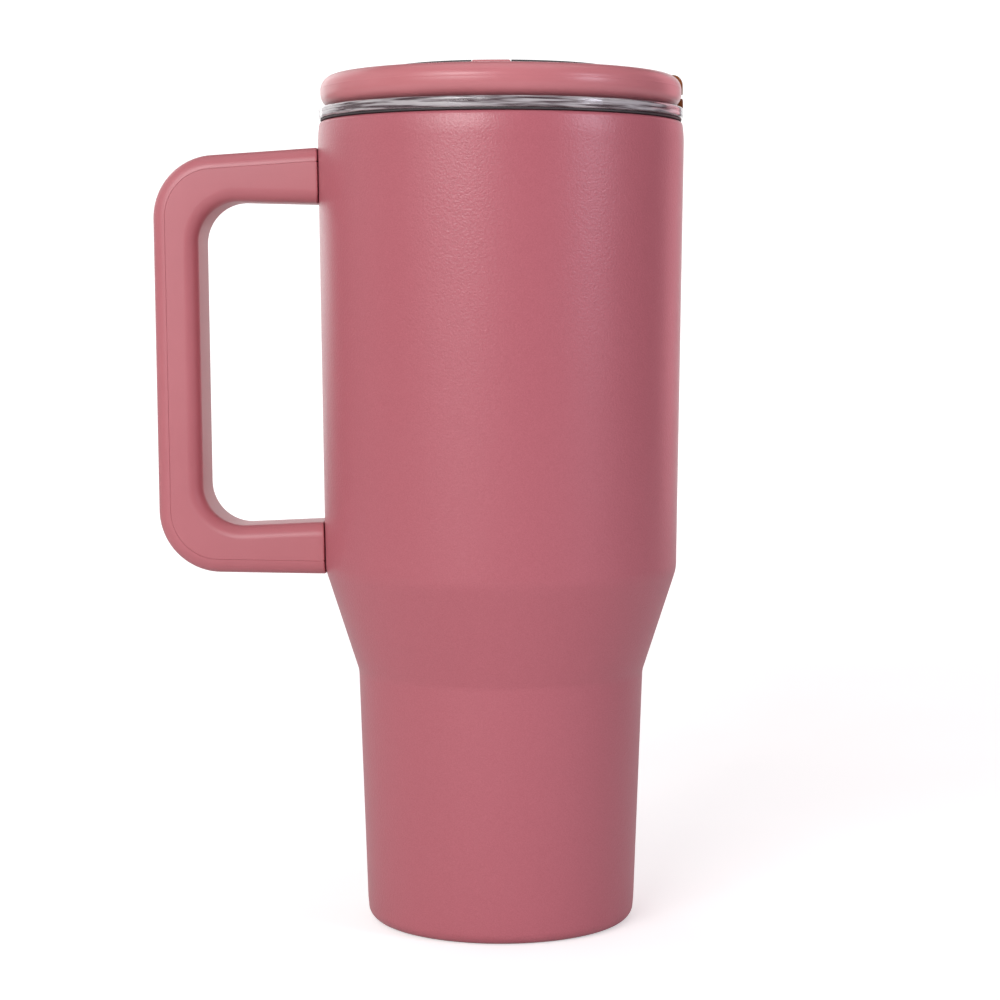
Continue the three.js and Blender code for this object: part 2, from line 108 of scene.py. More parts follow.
def arc(cx, cy, radius, start, end, steps):
    """Points of a circular arc, angles in degrees."""
    out = []
    for i in range(steps + 1):
        a = math.radians(start + (end - start) * i / steps)
        out.append((cx + radius * math.cos(a), cy + radius * math.sin(a)))
    return out


def round_corners(points, radii, steps):
    """A polyline with its inner corners replaced by arcs."""
    out = [points[0]]
    for i in range(1, len(points) - 1):
        corner = Vector(points[i])
        back = (Vector(points[i - 1]) - corner).normalized()
        ahead = (Vector(points[i + 1]) - corner).normalized()
        half = math.acos(max(-1.0, min(1.0, back.dot(ahead)))) / 2
        radius = radii[i - 1]
        centre = corner + (back + ahead).normalized() * (radius / math.sin(half))
        start = corner + back * (radius / math.tan(half)) - centre
        end = corner + ahead * (radius / math.tan(half)) - centre
        sweep = math.atan2(start.x * end.y - start.y * end.x, start.dot(end))
        for k in range(steps + 1):
            a = sweep * k / steps
            out.append(
                (
                    centre.x + start.x * math.cos(a) - start.y * math.sin(a),
                    centre.y + start.x * math.sin(a) + start.y * math.cos(a),
                )
            )
    out.append(points[-1])
    return out


def side_line(inset, foot_z, rim_z, steps=16):
    """The vessel's side from foot to rim, moved inwards."""
    lower = (LOWER_TOP[0] - BASE_R) / LOWER_TOP[1]
    upper = (RIM[0] - UPPER_FOOT[0]) / (RIM[1] - UPPER_FOOT[1])
    corners = [
        (BASE_R + lower * foot_z - inset, foot_z),
        (LOWER_TOP[0] - inset, LOWER_TOP[1]),
        (UPPER_FOOT[0] - inset, UPPER_FOOT[1]),
        (RIM[0] - upper * (RIM[1] - rim_z) - inset, rim_z),
    ]
    return round_corners(corners, [LOWER_CREASE_R, UPPER_CREASE_R], steps)


def wall_radius(z):
    """Radius of the vessel's outside at a height."""
    line = side_line(0, 10, RIM[1])
    for (r0, z0), (r1, z1) in zip(line, line[1:]):
        if z0 <= z <= z1 and z1 > z0:
            return r0 + (r1 - r0) * (z - z0) / (z1 - z0)
    return line[-1][0] if z > line[-1][1] else line[0][0]


# ---------------------------------------------------------------- meshes


def to_object(name, bm, sharp=SHARP):
    """A mesh object in metres from a bmesh in millimetres, smooth except over sharp edges."""
    bmesh.ops.recalc_face_normals(bm, faces=bm.faces)
    bmesh.ops.scale(bm, vec=(MM, MM, MM), verts=bm.verts)
    mesh = bpy.data.meshes.new(name)
    bm.to_mesh(mesh)
    bm.free()
    mesh.shade_smooth()
    mesh.set_sharp_from_angle(angle=math.radians(sharp))
    obj = bpy.data.objects.new(name, mesh)
    bpy.context.scene.collection.objects.link(obj)
    return obj


def from_faces(name, verts, faces, sharp=SHARP):
    bm = bmesh.new()
    made = [bm.verts.new(v) for v in verts]
    for face in faces:
        bm.faces.new([made[i] for i in face])
    return to_object(name, bm, sharp)


def revolve(name, profile, segments=FINE, centre=(0, 0), sharp=SHARP):
    """A solid of revolution about Z from a closed list of (radius, height)."""
    verts, faces, rings = [], [], []
    for r, z in profile:
        first = len(verts)
        if r < 1e-6:
            verts.append((centre[0], centre[1], z))
            rings.append([first])
            continue
        for k in range(segments):
            a = math.tau * k / segments
            verts.append((centre[0] + r * math.cos(a), centre[1] + r * math.sin(a), z))
        rings.append(list(range(first, first + segments)))
    for a, b in zip(rings, rings[1:] + rings[:1]):
        if len(a) == 1 and len(b) == 1:
            continue
        for k in range(segments):
            j = (k + 1) % segments
            if len(a) == 1:
                faces.append((a[0], b[j], b[k]))
            elif len(b) == 1:
                faces.append((a[k], a[j], b[0]))
            else:
                faces.append((a[k], a[j], b[j], b[k]))
    return from_faces(name, verts, faces, sharp)


def prism(name, outline, low, high, axis="Z", bevel=0.0, segments=4):
    """A closed outline extruded along Z, or along Y from an XZ outline, with rounded rims."""
    bm = bmesh.new()
    place = (lambda u, v, w: (u, v, w)) if axis == "Z" else (lambda u, v, w: (u, w, v))
    low_ring = [bm.verts.new(place(u, v, low)) for u, v in outline]
    high_ring = [bm.verts.new(place(u, v, high)) for u, v in outline]
    rims = [bm.faces.new(low_ring), bm.faces.new(high_ring)]
    count = len(outline)
    for i in range(count):
        j = (i + 1) % count
        bm.faces.new((low_ring[i], low_ring[j], high_ring[j], high_ring[i]))
    bmesh.ops.recalc_face_normals(bm, faces=bm.faces)
    if bevel:
        edges = [e for face in rims for e in face.edges]
        bmesh.ops.bevel(
            bm, geom=edges, offset=bevel, segments=segments, profile=0.5, affect="EDGES"
        )
    return to_object(name, bm)


def drum(name, radius, low, high, x=0, y=0, segments=64):
    """A plain cylinder along Z, used as a cutter or in a boolean."""
    return revolve(
        name, [(0, low), (radius, low), (radius, high), (0, high)], segments, (x, y)
    )


def block(name, x0, x1, y0, y1, z0, z1):
    return prism(name, [(x0, y0), (x1, y0), (x1, y1), (x0, y1)], z0, z1)


def combine(obj, others, operation):
    """Applies boolean operations and removes the tools."""
    for other in others:
        modifier = obj.modifiers.new("boolean", "BOOLEAN")
        modifier.operation = operation
        modifier.solver = "EXACT"
        modifier.object = other
        bpy.context.view_layer.update()
        depsgraph = bpy.context.evaluated_depsgraph_get()
        mesh = bpy.data.meshes.new_from_object(obj.evaluated_get(depsgraph))
        obj.modifiers.clear()
        obj.data = mesh
        bpy.data.objects.remove(other)
    obj.data.shade_smooth()
    obj.data.set_sharp_from_angle(angle=math.radians(SHARP))


def cut(obj, *tools):
    combine(obj, tools, "DIFFERENCE")


def join(obj, *others):
    combine(obj, others, "UNION")


def at_latch(obj):
    """Turns a piece made along +X to the latch's azimuth."""
    obj.data.transform(Matrix.Rotation(LATCH_AZIMUTH, 4, "Z"))
    return obj


# ---------------------------------------------------------------- materials


def linear(r, g, b):
    """sRGB 0-255 to linear."""

    def one(c):
        c /= 255
        return c / 12.92 if c <= 0.04045 else ((c + 0.055) / 1.055) ** 2.4

    return (one(r), one(g), one(b), 1.0)


class Nodes:
    """A material's node tree with the few links that every finish here needs."""

    def __init__(self, name):
        self.material = bpy.data.materials.new(name)
        self.material.use_nodes = True
        self.tree = self.material.node_tree
        self.shader = self.tree.nodes["Principled BSDF"]
        self.coords = self.tree.nodes.new("ShaderNodeTexCoord").outputs["Object"]

    def node(self, kind, **settings):
        made = self.tree.nodes.new(kind)
        for key, value in settings.items():
            setattr(made, key, value)
        return made

    def link(self, source, target):
        self.tree.links.new(source, target)

    def noise(self, scale, detail, stretch=(1, 1, 1)):
        """Noise in the row frame. scale is in waves per metre."""
        mapping = self.node("ShaderNodeMapping")
        mapping.inputs["Scale"].default_value = stretch
        self.link(self.coords, mapping.inputs["Vector"])
        texture = self.node("ShaderNodeTexNoise")
        texture.inputs["Scale"].default_value = scale
        texture.inputs["Detail"].default_value = detail
        self.link(mapping.outputs["Vector"], texture.inputs["Vector"])
        return texture.outputs["Fac"]

    def span(self, value, low, high, from_low=0.3, from_high=0.7):
        ranged = self.node("ShaderNodeMapRange")
        ranged.inputs["From Min"].default_value = from_low
        ranged.inputs["From Max"].default_value = from_high
        ranged.inputs["To Min"].default_value = low
        ranged.inputs["To Max"].default_value = high
        self.link(value, ranged.inputs["Value"])
        return ranged.outputs["Result"]

    def tint(self, value, first, second, low=0.3, high=0.7):
        ramp = self.node("ShaderNodeValToRGB")
        ramp.color_ramp.elements[0].position = low
        ramp.color_ramp.elements[0].color = first
        ramp.color_ramp.elements[1].position = high
        ramp.color_ramp.elements[1].color = second
        self.link(value, ramp.inputs["Fac"])
        return ramp.outputs["Color"]

    def bump(self, *layers):
        """layers are (height value, distance in metres)."""
        normal = None
        for value, distance in layers:
            bump = self.node("ShaderNodeBump")
            bump.inputs["Strength"].default_value = 1.0
            bump.inputs["Distance"].default_value = distance
            self.link(value, bump.inputs["Height"])
            if normal is not None:
                self.link(normal, bump.inputs["Normal"])
            normal = bump.outputs["Normal"]
        self.link(normal, self.shader.inputs["Normal"])

    def set(self, **inputs):
        for key, value in inputs.items():
            self.shader.inputs[key.replace("_", " ")].default_value = value

    def color(self, value):
        self.link(value, self.shader.inputs["Base Color"])

    def roughness(self, value):
        self.link(value, self.shader.inputs["Roughness"])


def powder_coat():
    """Cured powder: an orange-peel skin with a fine speckle and a soft gloss."""
    n = Nodes("powder_coat")
    peel = n.noise(1500, 2.0)
    grain = n.noise(5200, 1.0)
    cloud = n.noise(26, 3.0)
    n.color(n.tint(n.noise(3600, 1.0), linear(179, 96, 106), linear(187, 104, 115)))
    n.roughness(n.span(cloud, 0.31, 0.36))
    n.bump((peel, 0.00008), (grain, 0.000012))
    n.set(Specular_IOR_Level=0.5)
    return n.material


def rose_plastic(name, dark, light, rough, grain_depth):
    """Moulded plastic with an even fine grain."""
    n = Nodes(name)
    n.color(n.tint(n.noise(40, 3.0), dark, light))
    n.roughness(n.span(n.noise(60, 2.0), rough - 0.01, rough + 0.01))
    n.bump((n.noise(2200, 1.0), grain_depth), (n.noise(220, 2.0), grain_depth * 2))
    return n.material


def clear_plastic():
    """Clear moulding whose outer edge has flow streaks drawn out round the lid, with streaks of
    reflected light and shade painted into its colour there.
    """
    plain_to, streaks_from = 0.0485, 0.0500  # radii in metres
    n = Nodes("clear_plastic")
    flat = n.node("ShaderNodeMapping")
    flat.inputs["Scale"].default_value = (1, 1, 0)
    n.link(n.coords, flat.inputs["Vector"])
    radius = n.node("ShaderNodeVectorMath", operation="LENGTH")
    n.link(flat.outputs["Vector"], radius.inputs[0])
    edge = n.span(radius.outputs["Value"], 0, 1, plain_to, streaks_from)
    edge_only = n.node("ShaderNodeMath", operation="MULTIPLY")
    # Stretched noise at the outer edge: it drives the real flow-line bump and also masks the painted
    # reflection streaks.
    n.link(n.noise(70, 3.0, (1, 1, 22)), edge_only.inputs[0])
    n.link(edge, edge_only.inputs[1])
    flow_lines_and_painted_glints = edge_only.outputs["Value"]
    plain = n.tint(n.noise(20, 2.0), linear(206, 199, 202), linear(214, 208, 211))
    # Painted reflection: at the edge the colour runs from a dark purplish painted shade to a
    # near-white painted highlight.
    painted_reflection_streaks = n.tint(flow_lines_and_painted_glints, linear(112, 92, 98), linear(244, 236, 239), 0.4, 0.58)
    mix = n.node("ShaderNodeMix", data_type="RGBA")
    first, second = [socket for socket in mix.inputs if socket.type == "RGBA"]
    n.link(edge, mix.inputs["Factor"])
    n.link(plain, first)
    n.link(painted_reflection_streaks, second)
    n.color(next(socket for socket in mix.outputs if socket.type == "RGBA"))
    n.roughness(n.span(n.noise(300, 2.0), 0.04, 0.1))
    n.set(Transmission_Weight=0.5, IOR=1.49)
    n.bump((flow_lines_and_painted_glints, 0.0001), (n.noise(180, 2.0), 0.00003))
    return n.material


def rubber(name, dark, light):
    n = Nodes(name)
    n.color(n.tint(n.noise(120, 3.0), dark, light))
    n.roughness(n.span(n.noise(500, 2.0), 0.5, 0.62))
    n.bump((n.noise(2600, 2.0), 0.00002))
    return n.material


def gloss_plastic(name, dark, light, rough):
    n = Nodes(name)
    n.color(n.tint(n.noise(90, 3.0), dark, light))
    n.roughness(n.span(n.noise(260, 2.0), rough - 0.015, rough + 0.015))
    n.bump((n.noise(700, 2.0), 0.00001))
    return n.material


def brushed_steel(name, stretch):
    n = Nodes(name)
    lines = n.noise(900, 3.0, stretch)
    n.color(n.tint(lines, linear(168, 168, 170), linear(206, 206, 208)))
    n.roughness(n.span(lines, 0.24, 0.38))
    n.bump((lines, 0.00001))
    n.set(Metallic=1.0)
    return n.material


def getter_metal():
    n = Nodes("getter_metal")
    n.color(n.tint(n.noise(1500, 3.0), linear(92, 92, 94), linear(120, 120, 122)))
    n.roughness(n.span(n.noise(800, 2.0), 0.6, 0.8))
    n.bump((n.noise(2400, 3.0), 0.00004))
    n.set(Metallic=1.0)
    return n.material


COAT = powder_coat()
HANDLE_FINISH = rose_plastic(
    "handle_plastic", linear(188, 108, 116), linear(192, 112, 120), 0.40, 0.000012
)
RING_FINISH = rose_plastic(
    "ring_plastic", linear(196, 117, 123), linear(200, 121, 127), 0.30, 0.000008
)
CLEAR = clear_plastic()
SILICONE = rubber("silicone", linear(56, 50, 52), linear(66, 60, 62))
DIAL_FINISH = gloss_plastic("dial_plastic", linear(66, 61, 63), linear(78, 73, 75), 0.25)
AMBER = gloss_plastic("amber_plastic", linear(120, 62, 24), linear(138, 76, 32), 0.18)
STEEL_ROUND = brushed_steel("steel_turned", (1, 1, 18))
STEEL = brushed_steel("steel_brushed", (1, 12, 12))
SEAL_GLASS = gloss_plastic("sealing_glass", linear(110, 122, 104), linear(124, 136, 116), 0.12)
GETTER = getter_metal()


def finish_piece(obj, body, node, material):
    """Gives a new piece its finish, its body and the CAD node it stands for."""
    obj.data.materials.clear()
    obj.data.materials.append(material)
    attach(obj, body)
    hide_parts(node)


def paint_node(node, material):
    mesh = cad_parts[node]
    mesh.data.materials.clear()
    mesh.data.materials.append(material)


# ---------------------------------------------------------------- the vessel


def make_outer_wall():
    lip_r = BASE_R - 6
    inner_lip_r = RIM[0] - 2.3
    foot_z = FOOT_Z - FOOT_DROP
    fillet_z = foot_z + BASE_FILLET
    rim_z = RIM[1] - RIM_FILLET
    outer = [(lip_r, foot_z)]
    outer += arc(BASE_R - BASE_FILLET, fillet_z, BASE_FILLET, -90, 0, 12)
    side = side_line(0, fillet_z + 2, RIM[1] - TURN_IN)
    outer += side
    corner_r = side[-1][0] - TURN_BY - RIM_EDGE_R
    for k in range(1, 9):
        rise = (TURN_IN - RIM_EDGE_R) * k / 8
        outer.append((side[-1][0] - TURN_BY * (k / 8) ** 2, RIM[1] - TURN_IN + rise))
    outer += arc(corner_r, RIM[1] - RIM_EDGE_R, RIM_EDGE_R, 4, 90, 10)
    outer += [(inner_lip_r, RIM[1])]
    inner = [(lip_r, foot_z + OUTER_WALL_T)]
    inner += arc(BASE_R - BASE_FILLET, fillet_z, BASE_FILLET - OUTER_WALL_T, -90, 0, 8)
    inner += side_line(OUTER_WALL_T, fillet_z + 2, rim_z - 1, 6)
    inner += arc(RIM[0] - RIM_FILLET, rim_z, RIM_FILLET - OUTER_WALL_T, 0, 90, 5)
    inner += [(inner_lip_r, RIM[1] - OUTER_WALL_T)]
    wall = revolve("outer_wall_fine", outer + inner[::-1])
    finish_piece(wall, "mug", "outer_wall", COAT)


def make_inner_wall():
    def face(inset, floor_z, fillet):
        side = side_line(inset, floor_z + fillet, RIM[1])
        bottom = arc(side[0][0] - fillet, floor_z + fillet, fillet, -90, 0, 14)
        return [(0, floor_z)] + bottom + side[1:]

    wet = face(WALL_STACK, INNER_FLOOR_Z, INNER_FLOOR_FILLET)
    back = face(
        WALL_STACK - INNER_WALL_T,
        INNER_FLOOR_Z - INNER_WALL_T,
        INNER_FLOOR_FILLET + INNER_WALL_T,
    )
    liner = revolve("inner_wall_fine", back + wet[::-1])
    finish_piece(liner, "mug", "inner_wall", STEEL_ROUND)


def make_base():
    cup_z = FOOT_Z + OUTER_WALL_T + 0.3
    plate_r = BASE_R - BASE_FILLET + 0.4
    dimple_r, rise, hole, thick = 5.0, 1.2, 0.8, 0.8
    plate = revolve(
        "base_cup_fine",
        [
            (hole, cup_z + rise),
            (dimple_r, cup_z + rise),
            (dimple_r + 1, cup_z),
            (plate_r, cup_z),
            (plate_r, cup_z + thick),
            (dimple_r + 1, cup_z + thick),
            (dimple_r, cup_z + thick + rise),
            (hole, cup_z + thick + rise),
        ],
    )
    finish_piece(plate, "mug", "base_cup", COAT)

    pad_r = BASE_R - 7.5
    under = [(0, 0), (11.6, 0)]
    for groove_r in (12.0, 16.0, 20.0, 24.0):
        under += [
            (groove_r - 0.3, 0),
            (groove_r - 0.2, 0.25),
            (groove_r + 0.2, 0.25),
            (groove_r + 0.3, 0),
        ]
    under += arc(pad_r - 0.4, 0.4, 0.4, -90, 0, 5)
    pad = revolve("base_pad_fine", under + [(pad_r, cup_z - 0.1), (0, cup_z - 0.1)])
    finish_piece(pad, "mug", "base_pad", SILICONE)


# ---------------------------------------------------------------- the handle


def arm_top(r):
    return ARM_TOP_Z - ARM_TOP_SLOPE * (r - ROOT_R)


def arm_bottom(r):
    return ARM_BOTTOM_Z + ARM_BOTTOM_SLOPE * (r - ROOT_R)


def hole_top(r):
    return HOLE_TOP_Z + HOLE_TOP_SLOPE * (r - ROOT_R)


def hole_bottom(r):
    return HOLE_BOTTOM_Z - HOLE_BOTTOM_SLOPE * (r - ROOT_R)


def grip_outer(z):
    return GRIP_OUTER_R + GRIP_SLOPE * (z - GRIP_Z)


def grip_inner(z):
    return GRIP_INNER_R + GRIP_SLOPE * (z - GRIP_Z)


def bow_corner(line_of_r, line_of_z, inset, side):
    """Where an arm's edge and the grip's edge meet, both moved inwards. side is 1 at the top."""
    r = line_of_z((ARM_TOP_Z + ARM_BOTTOM_Z) / 2)
    for _ in range(4):
        r = line_of_z(line_of_r(r)) - inset
    return (r, line_of_r(r) - side * inset)


def outer_line(inset):
    """The outside of the handle from the upper arm's root to the lower one's, moved inwards."""
    line = [
        (ROOT_R, arm_top(ROOT_R) - inset),
        bow_corner(arm_top, grip_outer, inset, 1),
        bow_corner(arm_bottom, grip_outer, inset, -1),
        (ROOT_R, arm_bottom(ROOT_R) + inset),
    ]
    radius = HANDLE_OUTER_CORNER_R - inset
    return round_corners(line, [radius, radius], 24)


def inner_line(inset):
    """The edge of the finger gap, moved into the material."""
    line = [
        (ROOT_R, hole_top(ROOT_R) + inset),
        bow_corner(hole_top, grip_inner, -inset, 1),
        bow_corner(hole_bottom, grip_inner, -inset, -1),
        (ROOT_R, hole_bottom(ROOT_R) - inset),
    ]
    radius = HANDLE_INNER_CORNER_R + inset
    return round_corners(line, [radius, radius], 24)


def bow(name, section):
    """Sweeps a section round the handle. section(shrink) lists (line, inset, y), always as many."""
    verts, faces = [], []
    full = section(0)
    count = len(full)
    rings = []

    def wall_end(y, z, stand_off):
        reach = wall_radius(z) + GAP + stand_off
        return math.sqrt(reach * reach - y * y)

    def add_ring(points):
        rings.append(list(range(len(verts), len(verts) + count)))
        verts.extend((-r, y, z) for r, y, z in points)

    paths = [line(inset) for line, inset, _ in full]
    steps = 5
    for end in (0, -1):
        loops = []
        for k in range(steps + 1):
            a = math.pi / 2 * k / steps
            shrunk = section(END_ROUND * (1 - math.sin(a)))
            stand_off = END_ROUND * (1 - math.cos(a))
            points = []
            for line, inset, y in shrunk:
                z = line(inset)[end][1]
                points.append((wall_end(y, z, stand_off), y, z))
            loops.append(points)
        if end == 0:
            for points in loops:
                add_ring(points)
            for k in range(len(paths[0])):
                add_ring([(path[k][0], y, path[k][1]) for path, (_, _, y) in zip(paths, full)])
        else:
            for points in reversed(loops):
                add_ring(points)
    for a, b in zip(rings, rings[1:]):
        for i in range(count):
            j = (i + 1) % count
            faces.append((a[i], a[j], b[j], b[i]))
    faces.append(tuple(rings[0]))
    faces.append(tuple(rings[-1]))
    return from_faces(name, verts, faces)


def cover_section(shrink):
    """The strip round the outside: a flat back, rounded shoulders and a flat seam face."""
    half = HANDLE_W / 2 - shrink
    edge = HANDLE_EDGE_R - shrink
    seam = COVER_T - shrink
    lip = SEAM_LIP
    steps = 14
    last = math.acos(1 - (seam - lip - shrink) / edge)
    side = []
    for k in range(steps + 1):
        angle = last * k / steps
        side.append((shrink + edge * (1 - math.cos(angle)), half - edge * (1 - math.sin(angle))))
    side.append((seam, side[-1][1] - lip))
    mirrored = [(inset, -y) for inset, y in reversed(side)]
    return [(outer_line, inset, y) for inset, y in side + mirrored]


def frame_section(shrink):
    """The inner part of the C: a seam face outside and rounded edges round the finger gap."""
    half = HANDLE_W / 2 - shrink
    edge = HANDLE_EDGE_R - shrink
    seam = COVER_T + COVER_LINE + shrink
    lip = SEAM_LIP
    side = [(outer_line, seam, half - lip), (outer_line, seam + lip, half)]
    for a in range(90, -1, -6):
        angle = math.radians(a)
        inset = shrink + edge * (1 - math.cos(angle))
        side.append((inner_line, inset, half - edge * (1 - math.sin(angle))))
    mirrored = [(line, inset, -y) for line, inset, y in reversed(side)]
    return side + mirrored


def make_handle():
    frame_piece = bow("handle_frame_fine", frame_section)
    finish_piece(frame_piece, "mug", "handle_frame", HANDLE_FINISH)
    cover = bow("handle_cover_fine", cover_section)
    finish_piece(cover, "mug", "handle_cover", HANDLE_FINISH)


# ---------------------------------------------------------------- the lid


def ring_side(grow, start, end, steps):
    """Part of the ring's rounded outer side, grown by a distance, angles in degrees."""
    out = []
    for x, z in arc(0, 0, 1, start, end, steps):
        bulge_x = math.copysign(abs(x) ** (2 / RING_POWER), x)
        bulge_z = math.copysign(abs(z) ** (2 / RING_POWER), z)
        out.append((RING_R + (RING_OUT + grow) * bulge_x, RING_Z + (RING_HIGH + grow) * bulge_z))
    return out


def rounded(x0, x1, y0, y1, r):
    """A rectangle's outline with round corners."""
    corners = (
        (x1 - r, y1 - r, 0),
        (x0 + r, y1 - r, 90),
        (x0 + r, y0 + r, 180),
        (x1 - r, y0 + r, 270),
    )
    return [p for cx, cy, start in corners for p in arc(cx, cy, r, start, start + 90, 8)]


def latch_outline(grow=0.0):
    """Side view of the latch, from its barrel over the ring and down the outside."""
    top = LATCH_TOP + grow
    outer_r = LATCH_OUTER_R + grow
    tip_z = LATCH_TIP_Z - grow
    inner = outer_r - LATCH_T - 2 * grow
    under = top - LATCH_T - 2 * grow
    points = [(HINGE_R, top)]
    points += arc(outer_r - 2.8, top - 2.8, 2.8, 90, 0, 14)
    points += [(outer_r, tip_z), (inner, tip_z)]
    points += arc(inner - 1.2, under - 1.2, 1.2, 0, 90, 8)
    return points, under


def pin_bore():
    return arc(HINGE_R, HINGE_Z, PIN_R + PIN_PLAY, 0, 348.75, 31)


def make_lid_base():
    profile = [
        (0, DECK_BOTTOM),
        (COLLAR_INNER - 0.8, DECK_BOTTOM),
        (COLLAR_INNER, DECK_BOTTOM - 0.8),
        (COLLAR_INNER, FLANGE_BOTTOM),
        (SKIRT_INNER, FLANGE_BOTTOM - 1.0),
        (SKIRT_INNER, SKIRT_BOTTOM),
        (SKIRT_OUTER - 0.6, SKIRT_BOTTOM),
        (SKIRT_OUTER, SKIRT_BOTTOM + 0.8),
        (SKIRT_OUTER, FLANGE_BOTTOM),
    ]
    profile += arc(FLANGE_R - 0.7, FLANGE_BOTTOM + 0.7, 0.7, -90, 0, 8)
    profile += arc(FLANGE_R - 0.7, FLANGE_TOP - 0.7, 0.7, 0, 90, 8)
    profile += [
        (COLLAR_OUTER, FLANGE_TOP),
        (COLLAR_OUTER, COLLAR_TOP),
        (COLLAR_INNER, COLLAR_TOP),
        (COLLAR_INNER, DECK_TOP),
        (0, DECK_TOP),
    ]
    base = revolve("lid_base_fine", profile, 192)
    ear_t = 2.4
    parts = [
        drum("boss", 5.4, BOSS_BOTTOM, DECK_BOTTOM + 0.5),
        drum("straw_collar", STRAW_R + 1.6, BOSS_BOTTOM, DECK_BOTTOM + 0.5, 0, -STRAW_AT),
    ]
    for side in (1, -1):
        near = side * (LATCH_W / 2 + 0.3)
        far = near + side * ear_t
        outline = [(HINGE_R - 2.6, DECK_TOP - 0.5), (HINGE_R + 2.6, DECK_TOP - 0.5)]
        outline += arc(HINGE_R, HINGE_Z, 2.6, 0, 180, 24)
        low, high = min(near, far), max(near, far)
        parts.append(at_latch(prism("ear", outline, low, high, "Y", 0.3, 3)))
    join(base, *parts)
    pin_hole = prism("pin_hole", pin_bore(), -12, 12, "Y")
    slot_x, slot_y = SIP_WIDTH / 2, SIP_DEPTH / 2
    slot = rounded(-slot_x, slot_x, SIP_AT - slot_y, SIP_AT + slot_y, 1.5)
    cut(
        base,
        drum("pivot_hole", 1.9, 223.0, DECK_TOP + 1),
        drum("straw_seat", SEAL_OUTER + 0.3, DECK_TOP - 0.9, DECK_TOP + 1, 0, -STRAW_AT),
        drum("straw_hole", STRAW_R, 215, DECK_TOP + 1, 0, -STRAW_AT),
        drum("sip_seat", SEAL_OUTER + 0.3, DECK_TOP - 0.9, DECK_TOP + 1, 0, SIP_AT),
        at_latch(pin_hole),
        prism("sip_slot", slot, DECK_BOTTOM - 1, DECK_TOP + 1),
        drum("vent", VENT_R, DECK_BOTTOM - 1, DECK_TOP + 1, VENT_X, 0, 32),
    )
    finish_piece(base, "lid", "lid_base", CLEAR)


def make_lid_ring():
    low_z = DECK_TOP + 0.3
    top = RING_Z + RING_HIGH
    bead = 0.025  # height of the mould line that runs round the ring a little above its middle
    profile = [
        (COLLAR_OUTER + 0.2, COLLAR_TOP + 0.2),
        (COLLAR_OUTER + 0.2, FLANGE_TOP + 0.1),
    ]
    profile += ring_side(0, -88, 6, 30)
    profile += ring_side(bead, 7, 8, 1)
    profile += ring_side(0, 9, 90, 28)
    profile += arc(RING_INNER_R + 2, top - 2, 2, 90, 180, 12)
    profile += [
        (RING_INNER_R, low_z),
        (COLLAR_INNER - 0.2, low_z),
        (COLLAR_INNER - 0.2, COLLAR_TOP + 0.2),
    ]
    ring = revolve("lid_ring_fine", profile, FINE, sharp=28)
    outline, under = latch_outline(GAP)
    pocket = prism(
        "pocket", outline + [(HINGE_R, under)], -LATCH_W / 2 - GAP, LATCH_W / 2 + GAP, "Y"
    )
    cut(ring, at_latch(pocket))
    finish_piece(ring, "lid", "lid_ring", RING_FINISH)


def make_lid_seal():
    bore_r, body_r, foot_z = SKIRT_OUTER + 0.15, 46.9, 213.2
    profile = [(bore_r, foot_z), (body_r, foot_z)]
    for z in (215.6, 219.6):
        profile += [
            (body_r, z - 0.7),
            (47.25, z - 0.1),
            (47.35, z),
            (47.25, z + 0.15),
            (body_r, z + 0.3),
        ]
    profile += [
        (body_r, RIM[1] + 0.15),
        (FLANGE_R - 0.8, RIM[1] + 0.15),
        (FLANGE_R - 0.65, RIM[1] + 0.3),
        (FLANGE_R - 0.65, FLANGE_BOTTOM - 0.1),
        (bore_r, FLANGE_BOTTOM - 0.1),
    ]
    seal = revolve("lid_seal_fine", profile)
    finish_piece(seal, "lid", "lid_seal", SILICONE)


